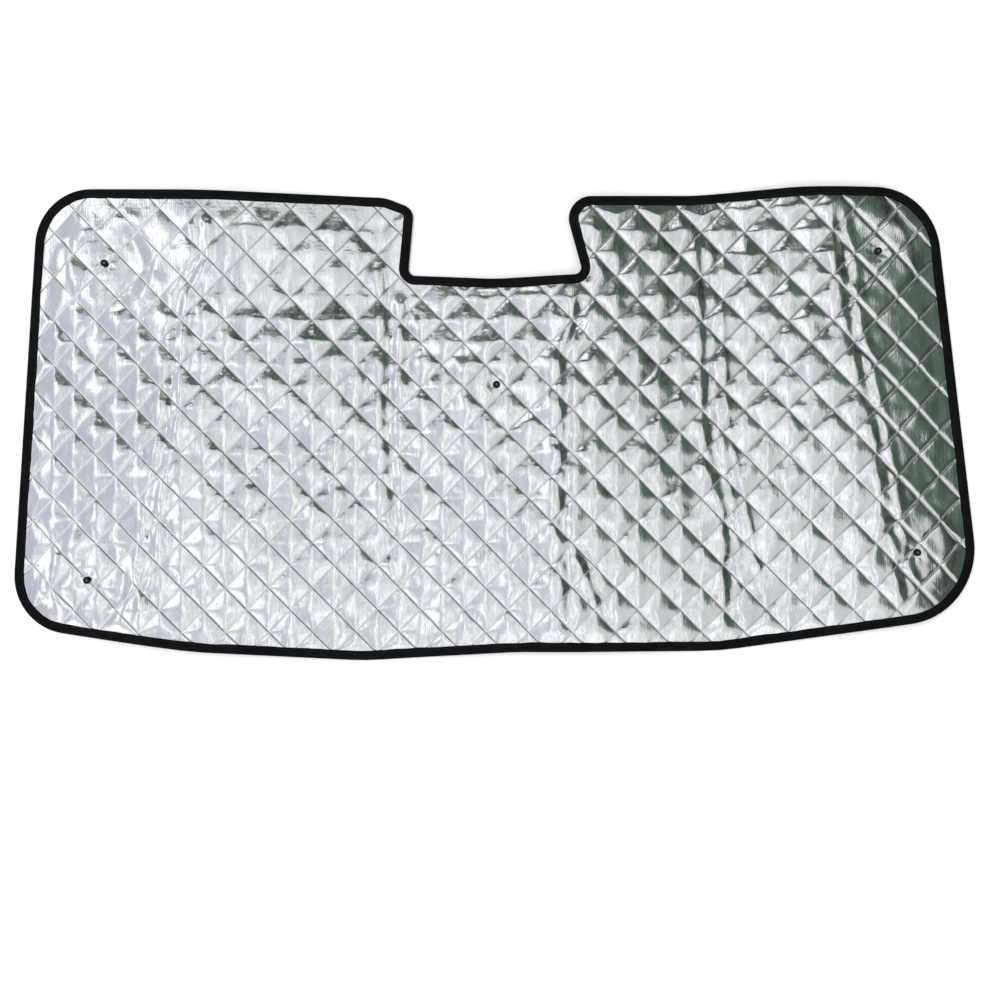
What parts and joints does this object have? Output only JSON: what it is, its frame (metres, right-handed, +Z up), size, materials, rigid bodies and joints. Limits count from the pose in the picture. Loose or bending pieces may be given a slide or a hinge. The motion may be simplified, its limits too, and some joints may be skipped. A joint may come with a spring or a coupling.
{
  "type": "insulated cab curtain",
  "caption": "Quilted foil-faced windscreen curtain with a mirror notch, bound edge and soft suction cups, laid flat.",
  "frame": {"origin": "centre of the curtain's box, on the floor that it lies on", "axes": "+X along the width, +Y towards the edge with the mirror notch, +Z up, out of the side that shows"},
  "size_m": [1.4076, 0.6912, 0.0267],
  "materials": {
    "metallised_film": "crinkled metallised film, glossy",
    "wadding": "soft fibre wadding",
    "binding_tape": "matt black woven tape",
    "soft_pvc": "glossy soft moulded plastic"
  },
  "bodies": {
    "root": {"front_film": "metallised_film", "wadding": "wadding", "back_film": "metallised_film", "edge_binding": "binding_tape", "suction_cup_upper_left": "soft_pvc", "suction_cup_upper_right": "soft_pvc", "suction_cup_centre": "soft_pvc", "suction_cup_lower_left": "soft_pvc", "suction_cup_lower_right": "soft_pvc"}
  },
  "joints": []
}
